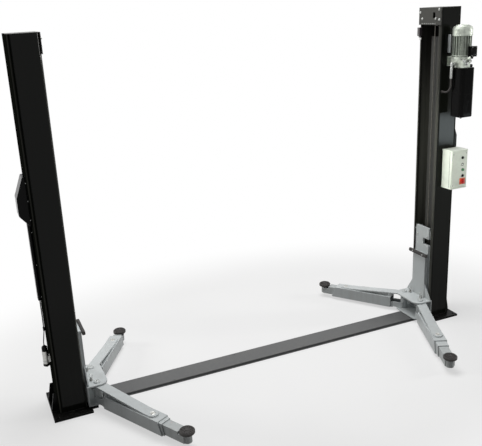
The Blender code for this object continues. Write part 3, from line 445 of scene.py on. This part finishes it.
def block(work, seat, low, high, edge=0.001):
    """A block between two corners in a seat, with every edge rounded."""
    corners = [work.verts.new(seat @ Vector((x, y, z))) for x in (low[0], high[0])
               for y in (low[1], high[1]) for z in (low[2], high[2])]
    sides = ((0, 1, 3, 2), (4, 6, 7, 5), (0, 4, 5, 1), (2, 3, 7, 6), (0, 2, 6, 4), (1, 5, 7, 3))
    faces = [work.faces.new([corners[step] for step in side]) for side in sides]
    edges = list(dict.fromkeys(line for face in faces for line in face.edges))
    bmesh.ops.bevel(work, geom=edges, offset=edge, segments=2, affect="EDGES", profile=0.5)


black_satin = moulded("black_satin", (0.004, 0.004, 0.004), (0.008, 0.008, 0.008), 0.14, 500.0,
                      0.02, 0.07)
dress(black_satin, "lock_cover_left", "lock_cover_right")
sheet, folded_edge = 0.002, 0.0007
cover_half, cover_low, cover_high, flange_width = 0.065, 1.52, 1.85, 0.014
duct_half, duct_low, duct_high, duct_out, tab_half = 0.03, 0.92, 1.506, 0.027, 0.012
rod_x, rod_radius, guide_low, guide_high = web + 0.014, 0.004, 0.665, 0.69
for side, turn in SIDES:
    work = bmesh.new()
    screws = bmesh.new()
    for sign in (-1, 1):
        near, far = sorted((sign * (cover_half - sheet), sign * (cover_half + flange_width)))
        block(work, turn, (web, near, cover_low), (web + sheet, far, cover_high), folded_edge)
        for z in (1.55, 1.69, 1.82):
            spot = (web + sheet, sign * (cover_half + flange_width / 2), z)
            dome_screw(screws, turn @ facing(spot, "out"), 0.0045)
    block(work, turn, (web, -duct_half, duct_low), (web + duct_out, duct_half, duct_high), 0.004)
    for z in (0.95, 1.2, 1.45):
        block(work, turn, (web, -duct_half - tab_half, z - tab_half),
              (web + sheet, duct_half + tab_half, z + tab_half), folded_edge)
        for sign in (-1, 1):
            spot = (web + sheet, sign * (duct_half + tab_half / 2), z)
            dome_screw(screws, turn @ facing(spot, "out"), 0.0035)
    fitted(work, "lock_cover_flanges_" + side, black_satin, "frame")
    work = bmesh.new()
    bent_rod(work, turn, [(rod_x, 0.0, 0.925), (rod_x, 0.0, 0.75), (rod_x + 0.002, 0.0, 0.66),
                          (rod_x + 0.016, 0.0, 0.575), (rod_x + 0.0176, 0.0, 0.535)],
             rod_radius, 10)
    block(work, turn, (web, -0.012, guide_low), (rod_x + 0.008, 0.012, guide_high), 0.002)
    fitted(work, "release_rod_" + side, black_satin, "frame")
    fitted(screws, "lock_cover_screws_" + side, zinc, "frame")

# Lock solenoids: black moulded cap and base ring on the plated coil case, a clamp round its
# middle and two screws through its foot into the column.
dress(bare_steel, "lock_solenoid_left", "lock_solenoid_right")
solenoid_axis, foot_half, foot_screw, foot_height = 1.8676, 0.034, 0.027, 0.43
for side, turn in SIDES:
    work = bmesh.new()
    seat = turn @ facing((solenoid_axis, 0.0, 0.0))
    turned(work, seat, ((0.0215, 0.497), (0.0215, 0.526), (0.019, 0.534), (0.010, 0.536),
                        (0.010, 0.542), (0.008, 0.544)), 28)
    turned(work, seat, ((0.0245, 0.376), (0.0245, 0.392), (0.0235, 0.394)), 28)
    block(work, seat, (-0.012, -foot_half, foot_height), (0.012, -0.02, 0.462), 0.002)
    fitted(work, "solenoid_cap_" + side, black_satin, "frame")
    work = bmesh.new()
    turned(work, seat, ((0.0242, 0.410), (0.0242, 0.420), (0.0235, 0.4205)), 28)
    for sign in (-1, 1):
        hex_bolt(work, turn @ facing((web + 0.0003, sign * foot_screw, foot_height), "out"),
                 0.005, 0.004)
    block(work, turn, (web, -foot_half, foot_height - 0.015),
          (web + sheet, foot_half, foot_height + 0.015), folded_edge)
    fitted(work, "solenoid_clamp_" + side, zinc, "frame")


# Carriages: welded plate in light grey enamel, dustier low down, with a rubber bar screwed
# across the apron. Each pivot pin has a ring and a grease nipple, each lock pin a spring and a
# pull ring. Hex screws hold the runners, and beads join the wings and brackets.
def wire_ring(work, seat, radius, thick, steps=28, sides=8):
    """A round wire ring about the z axis of a seat."""
    rings = []
    for step in range(steps):
        angle = math.tau * step / steps
        out = Vector((math.cos(angle), math.sin(angle), 0.0))
        loop = []
        for corner in range(sides):
            round_wire = math.tau * corner / sides
            spot = out * (radius + thick * math.cos(round_wire))
            loop.append(work.verts.new(seat @ Vector((spot.x, spot.y,
                                                      thick * math.sin(round_wire)))))
        rings.append(loop)
    skin(work, rings, closed=True)


grey_enamel = enamel("grey_enamel", (0.50, 0.53, 0.535), (0.36, 0.355, 0.335), 0.34, 0.5,
                     0.05, (0.2, 0.2, 0.2), 0.004)
dress(grey_enamel, "carriage_left", "carriage_right")
rubber = moulded("rubber_moulded", (0.010, 0.008, 0.007), (0.028, 0.024, 0.02), 0.62, 700.0, 0.3)
dress(rubber, "door_guard_left", "door_guard_right")
pivot_x, pivot_y, pin_top = 1.528, 0.12, 0.206
lock_x, lock_y, lock_top, bracket_top = 1.563, 0.08, 0.229, 0.199
coil_radius, coil_wire, coil_rise, coil_steps = 0.0118, 0.0014, 0.017, 56
apron_face, apron_half, wing_y, wing_top, runner_face = 1.593, 0.163, 0.087, 0.335, 1.623
guard_face, guard_mid, screw_y = 1.5677, 0.627, 0.07
for side, turn in SIDES:
    body = "carriage_" + side
    work = bmesh.new()
    springs = bmesh.new()
    for sign in (-1, 1):
        pin = turn @ facing((pivot_x, sign * pivot_y, pin_top))
        wire_ring(work, pin, 0.0205, 0.0016)
        turned(work, pin, ((0.006, 0.0), (0.006, 0.003), (0.0035, 0.005), (0.0045, 0.007),
                           (0.003, 0.010)), 12)
        coil = []
        for step in range(coil_steps + 1):
            angle = math.tau * step / 14
            coil.append((coil_radius * math.cos(angle), coil_radius * math.sin(angle),
                         bracket_top + 0.003 + coil_rise * step / coil_steps))
        bent_rod(springs, turn @ facing((lock_x, sign * lock_y, 0.0)), coil, coil_wire, 6)
        pull = turn @ facing((lock_x, sign * lock_y, lock_top + 0.012), "front")
        wire_ring(springs, pull, 0.013, 0.0018)
        dome_screw(work, turn @ facing((guard_face, sign * screw_y, guard_mid), "in"), 0.007)
        for z in (0.215, 0.79):
            hex_bolt(work, turn @ facing((runner_face, sign * screw_y, z), "in"), 0.0065, 0.005)
    fitted(work, "carriage_fixings_" + side, zinc, body)
    fitted(springs, "lock_pin_rings_" + side, bare_steel, body)
    work = bmesh.new()
    bead_x = apron_face + 0.003
    weld_bead(work, turn, (bead_x, -apron_half, bracket_top),
              (bead_x, apron_half, bracket_top), thick_bead)
    for sign in (-1, 1):
        weld_bead(work, turn, (bead_x, sign * wing_y, bracket_top + 0.006),
                  (bead_x, sign * wing_y, wing_top))
    fitted(work, "carriage_welds_" + side, grey_enamel, body)

# Swing arms: square tubes in light grey enamel that slide in each other, the inner bars rubbed
# darker. A bead joins the strap to the outer tube, a through bolt stands at the strap's tip, a
# stop screw on the middle tube and plated rings round the pad's screw in its seat.
bar_enamel = enamel("bar_enamel", (0.42, 0.445, 0.445), (0.2, 0.195, 0.18), 0.36, 0.5, 0.05,
                    (0.1, 0.1, 0.1), 0.004)
# each arm's name and side, the way it turns, its tube's length, its angle and how far out of
# their closed place its middle and inner stages stand
ARM_SETS = (("left_front", "left", 1, 0.694, 61.5, 0.02, 0.143),
            ("left_rear", "left", -1, 0.665, 59.1, 0.0, 0.036),
            ("right_front", "right", -1, 0.665, 66.7, 0.066, 0.125),
            ("right_rear", "right", 1, 0.694, 54.3, 0.0, 0.064))
strap_half, strap_back, strap_edge, tube_top, strap_top = 0.043, 0.05, 0.13, 0.134, 0.144
bead, boss_weld, boss_half, seat_out, seat_top = 0.001, 0.12, 0.045, 0.075, 0.1
stop_out, middle_top = 0.0066, 0.126
arm_ends = {}
for name, side, sign, length, swing, middle, inner in ARM_SETS:
    arm = "arm_" + name
    dress(grey_enamel, arm, arm + "_middle")
    dress(bar_enamel, arm + "_inner")
    seat = (dict(SIDES)[side] @ Matrix.Translation((pivot_x, sign * pivot_y, 0.0))
            @ Matrix.Rotation(math.radians(180.0 - sign * swing), 4, "Z"))
    reach = length + seat_out + middle + inner
    arm_ends[name] = (seat, reach)
    tip = length - strap_back
    work = bmesh.new()
    through = seat @ facing((tip - strap_half, 0.0, strap_top))
    hex_bolt(work, through, 0.011, 0.008)
    wire_ring(work, through, 0.021, 0.0014)
    fitted(work, "strap_bolt_" + name, bare_steel, arm)
    work = bmesh.new()
    path = [(tip - strap_edge, -strap_half - bead, tube_top + bead)]
    for step in range(25):
        angle = math.radians(-90 + 180 * step / 24)
        path.append((tip - strap_half + (strap_half + bead) * math.cos(angle),
                     (strap_half + bead) * math.sin(angle), tube_top + bead))
    path.append((tip - strap_edge, strap_half + bead, tube_top + bead))
    bent_rod(work, seat, path, thin_bead, 6, ripple_swell)
    weld_bead(work, seat, (boss_weld, -boss_half, tube_top + bead),
              (boss_weld, boss_half, tube_top + bead))
    fitted(work, "strap_weld_" + name, grey_enamel, arm)
    work = bmesh.new()
    dome_screw(work, seat @ facing((length + middle + stop_out, 0.0, middle_top)), 0.0052)
    fitted(work, "stop_screw_" + name, zinc, arm + "_middle")
    work = bmesh.new()
    pad_seat = seat @ facing((reach, 0.0, seat_top))
    wire_ring(work, pad_seat, 0.021, 0.0022)
    wire_ring(work, pad_seat, 0.0295, 0.0016)
    fitted(work, "seat_ring_" + name, bare_steel, arm + "_inner")

# Lifting pads: moulded rubber, with a relief on top so that a sill can't slide: one ring of
# long and one of short studs round a domed middle.
pad_top, stud_rise = 0.137, 0.0032
stud_rings = ((8, 0.019, 0.029, 0.0032), (14, 0.033, 0.043, 0.0034))
for name, (seat, reach) in arm_ends.items():
    dress(rubber, "pad_" + name)
    work = bmesh.new()
    top = seat @ facing((reach, 0.0, pad_top))
    turned(work, top, ((0.014, -0.001), (0.013, 0.002), (0.008, 0.0032), (0.003, 0.0036)))
    wire_ring(work, top, 0.048, 0.0022, 36, 6)
    for count, start, end, half in stud_rings:
        for step in range(count):
            spoke = top @ Matrix.Rotation(math.tau * step / count, 4, "Z")
            block(work, spoke, (start, -half, -0.001), (end, half, stud_rise), 0.0009)
    fitted(work, "pad_relief_" + name, rubber, "pad_" + name)

# Limit switch: a dark grey moulded case on the right column's far lip, with a plated roller on
# its lever, two screws in its cover and a cable gland underneath.
switch_grey = moulded("switch_grey", (0.07, 0.06, 0.065), (0.1, 0.09, 0.09), 0.4, 600.0, 0.05)
dress(switch_grey, "limit_switch")
switch_x, switch_front, switch_y = 1.6087, 1.5947, 0.118
work = bmesh.new()
turned(work, facing((switch_x + 0.005, 0.102, 2.562), "in"),
       ((0.009, 0.0), (0.011, 0.001), (0.011, 0.009), (0.009, 0.010)))
for z in (2.60, 2.645):
    dome_screw(work, facing((switch_front, switch_y, z), "in"), 0.003)
turned(work, facing((switch_x, 0.125, 2.587), "down"),
       ((0.007, 0.0), (0.007, 0.006), (0.0055, 0.007), (0.0055, 0.013), (0.004, 0.014)), 12)
fitted(work, "limit_switch_roller", zinc, "frame")

# Power unit: a cast aluminium block on the column's near side, with a finned motor on its
# flange and a grey angle beside it. The cowl has guard rings and screws, the flange four bolts,
# the terminal box a screwed lid and a gland. Hex plugs and a plated fitting close the ports.
aluminium = metal("cast_metal", (0.4, 0.43, 0.38), (0.2, 0.215, 0.19), 0.36, 500.0)
dress(aluminium, "pump_block", "fan_cowl")
motor_finish = metal("motor_finish", (0.2, 0.22, 0.19), (0.1, 0.11, 0.095), 0.42, 500.0)
dress(motor_finish, "motor")
dress(black_satin, "terminal_box")
motor_x, motor_y, cowl_top, cowl_foot, motor_foot = 1.735, -0.272, 2.675, 2.598, 2.432
cowl_radius, cowl_screw, flange_low, flange_bolt = 0.0803, 2.612, 2.408, 0.047
work = bmesh.new()
crown = facing((motor_x, motor_y, cowl_top))
for radius in (0.016, 0.027, 0.038):
    wire_ring(work, crown, radius, 0.0018, 32, 6)
for step in range(6):
    spoke = crown @ Matrix.Rotation(math.tau * step / 6, 4, "Z")
    bent_rod(work, spoke, [(0.012, 0.0, 0.0), (0.024, 0.0, 0.001), (0.044, 0.0, 0.0)], 0.0018, 6)
turned(work, crown, ((0.013, -0.001), (0.012, 0.002), (0.006, 0.003)))
wire_ring(work, facing((motor_x, motor_y, cowl_foot)), 0.0805, 0.002, 48, 6)
wire_ring(work, facing((motor_x, motor_y, motor_foot)), 0.0765, 0.003, 48, 6)
fitted(work, "cowl_guard", aluminium, "frame")
work = bmesh.new()
for step in range(4):
    angle = math.radians(20 + 90 * step)
    out = Vector((math.cos(angle), math.sin(angle), 0.0))
    spot = Vector((motor_x, motor_y, cowl_screw)) + out * cowl_radius
    aim = out.to_track_quat("Z", "Y").to_matrix().to_4x4()
    dome_screw(work, Matrix.Translation(spot) @ aim, 0.0045)
for x in (-flange_bolt, flange_bolt):
    for y in (-flange_bolt, flange_bolt):
        hex_bolt(work, facing((motor_x + x, motor_y + y, flange_low), "down"), 0.0075, 0.007)
fitted(work, "unit_bolts", zinc, "frame")

terminal_left, terminal_right, terminal_low, terminal_high = 1.733, 1.787, 2.424, 2.508
terminal_front = -0.3908
work = bmesh.new()
block(work, as_built, (terminal_left, terminal_front - 0.004, terminal_low),
      (terminal_right, terminal_front + 0.003, terminal_high), 0.002)
turned(work, facing((1.76, -0.368, terminal_low + 0.002), "down"),
       ((0.012, 0.0), (0.012, 0.008), (0.010, 0.009), (0.010, 0.018), (0.007, 0.020)), 12)
fitted(work, "terminal_lid", black_satin, "frame")
work = bmesh.new()
for x in (terminal_left + 0.006, terminal_right - 0.006):
    for z in (terminal_low + 0.007, terminal_high - 0.007):
        dome_screw(work, facing((x, terminal_front - 0.004, z), "front"), 0.003)
fitted(work, "terminal_screws", zinc, "frame")

work = bmesh.new()
block(work, as_built, (1.697, -0.176, 2.45), (1.702, -side_wall, 2.60))
fitted(work, "unit_angle", grey_enamel, "frame")
hose_x, hose_y, port_x, pump_front = 1.658, -0.25, 1.6948, -0.342
work = bmesh.new()
turned(work, facing((port_x, hose_y, 2.362), "in"),
       ((0.014, 0.0), (0.014, 0.014), (0.011, 0.016), (0.011, 0.026)), 6)
turned(work, facing((hose_x, hose_y, 2.378), "down"),
       ((0.008, 0.0), (0.013, 0.004), (0.013, 0.030), (0.0105, 0.033), (0.0105, 0.044),
        (0.0125, 0.046), (0.0125, 0.128), (0.0105, 0.132)), 24)
fitted(work, "pressure_fitting", zinc, "frame")
work = bmesh.new()
for x, z, size in ((1.702, 2.392, 0.009), (1.733, 2.365, 0.011)):
    hex_bolt(work, facing((x, pump_front, z), "front"), size, 0.010)
turned(work, facing((1.752, pump_front, 2.388), "front"),
       ((0.010, 0.0), (0.010, 0.012), (0.013, 0.014), (0.013, 0.024), (0.011, 0.026)), 16)
fitted(work, "pump_plugs", zinc, "frame")

# Pressure hose: wire braided rubber, crimped into the fitting, straight down beside the tank
# and round into the column, where a grommet takes it through the wall.
hose_radius, bend, fall, last, hose_top = 0.0085, 0.07, 0.05, 0.036, 2.247
hose_low = hose_top - fall - bend
straight, curved = 5, 12
route = [(hose_x, hose_y, hose_top - fall * step / straight) for step in range(straight)]
for step in range(curved + 1):
    angle = math.radians(90 * step / curved)
    route.append((hose_x, hose_y + bend - bend * math.cos(angle),
                  hose_top - fall - bend * math.sin(angle)))
for step in range(1, 4):
    route.append((hose_x, hose_y + bend + last * step / 3, hose_low))
curve = bpy.data.curves.new("pressure_hose", "CURVE")
curve.dimensions = "3D"
curve.bevel_depth = hose_radius
curve.bevel_resolution = 4
curve.use_fill_caps = True
line = curve.splines.new("POLY")
line.points.add(len(route) - 1)
for point, spot in zip(line.points, route):
    point.co = (*spot, 1.0)
line.use_smooth = True
curve.materials.append(rubber)
hose = bpy.data.objects.new("pressure_hose", curve)
bpy.context.scene.collection.objects.link(hose)
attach(hose, "frame")
work = bmesh.new()
wire_ring(work, facing((hose_x, -side_wall - 0.001, hose_low), "front"), 0.0105, 0.003, 24)
fitted(work, "hose_grommet", rubber, "frame")

# Oil tank: moulded black plastic, so smooth that it shines where it is seen at a slant, with
# two moulded seams round it, the ribs of its filler cap and a drain plug underneath.
tank_gloss = moulded("tank_gloss", (0.003, 0.003, 0.003), (0.005, 0.005, 0.005), 0.06, 90.0,
                     0.02, 0.04)
shader = tank_gloss.node_tree.nodes["Principled BSDF"]
slant = Wire(tank_gloss.node_tree).node("ShaderNodeLayerWeight", None, {"Blend": 0.5}, 1)
slant.feed(shader.inputs["Coat Weight"], slant.between(0.4, 0.62))
shader.inputs["Coat Roughness"].default_value = 0.04
dress(tank_gloss, "tank")
tank_x, tank_y, tank_half, tank_corner, tank_low = 1.745, -0.292, 0.069, 0.03, 1.925
tank_flat = tank_half - tank_corner
work = bmesh.new()
for height in (2.12, 1.95):
    loop = []
    for quarter, (right, rear) in enumerate(((1, 1), (-1, 1), (-1, -1), (1, -1))):
        for step in range(7):
            angle = math.radians(90 * quarter + 15 * step)
            loop.append((tank_x + right * tank_flat + tank_corner * math.cos(angle),
                         tank_y + rear * tank_flat + tank_corner * math.sin(angle), height))
    loop.append(loop[0])
    bent_rod(work, as_built, loop, 0.0012, 6)
cap = facing((tank_x + 0.049, tank_y - 0.029, 2.354))
for step in range(16):
    rib = cap @ Matrix.Rotation(math.tau * step / 16, 4, "Z")
    block(work, rib, (0.0132, -0.0012, -0.014), (0.0152, 0.0012, -0.002), 0.0004)
turned(work, cap, ((0.014, 0.0), (0.0125, 0.003), (0.008, 0.0042)), 24)
hex_bolt(work, facing((tank_x - 0.03, tank_y - 0.03, tank_low), "down"), 0.010, 0.008)
fitted(work, "tank_fittings", black_satin, "frame")

# Control box: an off-white moulded box. Its lid has a turned edge, a rubber seal and four
# screws. On it are bezels round the buttons, a power lamp with a blank cap above it and the
# rotary switch on a bare backing plate. Two cable glands sit underneath.
box_white = moulded("box_white", (0.8, 0.85, 0.76), (0.7, 0.73, 0.66), 0.42, 600.0, 0.05)
dress(box_white, "control_box")
button_green = moulded("button_green", (0.02, 0.2, 0.05), (0.03, 0.22, 0.07), 0.3, 600.0, 0.05)
dress(button_green, "up_button")
dress(black_satin, "lock_button")
switch_red = moulded("switch_red", (0.5, 0.025, 0.02), (0.42, 0.03, 0.03), 0.3, 600.0, 0.05)
dress(switch_red, "main_switch")
box_x, box_half, box_low, box_high = 1.777, 0.081, 1.281, 1.624
door_y, control_x, up_z, lock_z = -0.2703, 1.813, 1.447, 1.394
lamp_x, lamp_z, edge_in, gland_y = 1.808, 1.495, 0.014, -0.205
switch_mid, backing_wide, backing_high = 1.344, 0.031, 0.028
work = bmesh.new()
for sign in (-1, 1):
    near, far = sorted((box_x + sign * (box_half - 0.0005), box_x + sign * (box_half + 0.0022)))
    block(work, as_built, (near, door_y + 0.002, box_low + edge_in),
          (far, door_y + 0.03, box_high - edge_in), 0.0008)
for z in (box_low + edge_in, box_high - edge_in - 0.0025):
    block(work, as_built, (box_x - box_half, door_y - 0.0012, z),
          (box_x + box_half, door_y + 0.004, z + 0.0025), 0.0006)
fitted(work, "box_lid_edge", box_white, "frame")
work = bmesh.new()
for sign in (-1, 1):
    for z in (box_low + 0.032, box_high - 0.032):
        dome_screw(work, facing((box_x + sign * 0.068, door_y, z), "front"), 0.0045)
for z in (up_z, lock_z):
    wire_ring(work, facing((control_x, door_y - 0.001, z), "front"), 0.0138, 0.0022)
fitted(work, "box_screws", zinc, "frame")
work = bmesh.new()
wire_ring(work, facing((lamp_x, door_y - 0.001, lamp_z), "front"), 0.0105, 0.0026)
turned(work, facing((lamp_x - 0.002, door_y, lamp_z + 0.06), "front"),
       ((0.0125, 0.0), (0.0125, 0.003), (0.009, 0.004), (0.009, 0.008), (0.007, 0.010)), 24)
for x in (1.745, 1.80):
    turned(work, facing((x, gland_y, box_low), "down"),
           ((0.013, 0.0), (0.013, 0.007), (0.0105, 0.008), (0.0105, 0.018), (0.0075, 0.021)), 12)
fitted(work, "box_glands", black_satin, "frame")
work = bmesh.new()
for sign in (-1, 1):
    near, far = sorted((box_x + sign * (box_half - 0.001), box_x + sign * (box_half + 0.0012)))
    block(work, as_built, (near, door_y + 0.0302, box_low + 0.013),
          (far, door_y + 0.034, box_high - 0.013), 0.0005)
fitted(work, "box_seal", rubber, "frame")
lamp_lens = moulded("lamp_lens", (0.75, 0.8, 0.74), (0.66, 0.7, 0.66), 0.18, 500.0, 0.05)
work = bmesh.new()
turned(work, facing((lamp_x, door_y, lamp_z), "front"),
       ((0.0085, 0.0), (0.0085, 0.004), (0.006, 0.0065), (0.002, 0.0075)))
fitted(work, "power_lamp", lamp_lens, "frame")
backing_orange = moulded("backing_orange", (0.62, 0.12, 0.04), (0.5, 0.1, 0.04), 0.4, 500.0, 0.05)
work = bmesh.new()
block(work, as_built,
      (control_x + 0.002 - backing_wide, door_y - 0.0009, switch_mid - backing_high),
      (control_x + 0.002 + backing_wide, door_y + 0.001, switch_mid + backing_high), 0.0003)
fitted(work, "switch_backing", backing_orange, "frame")
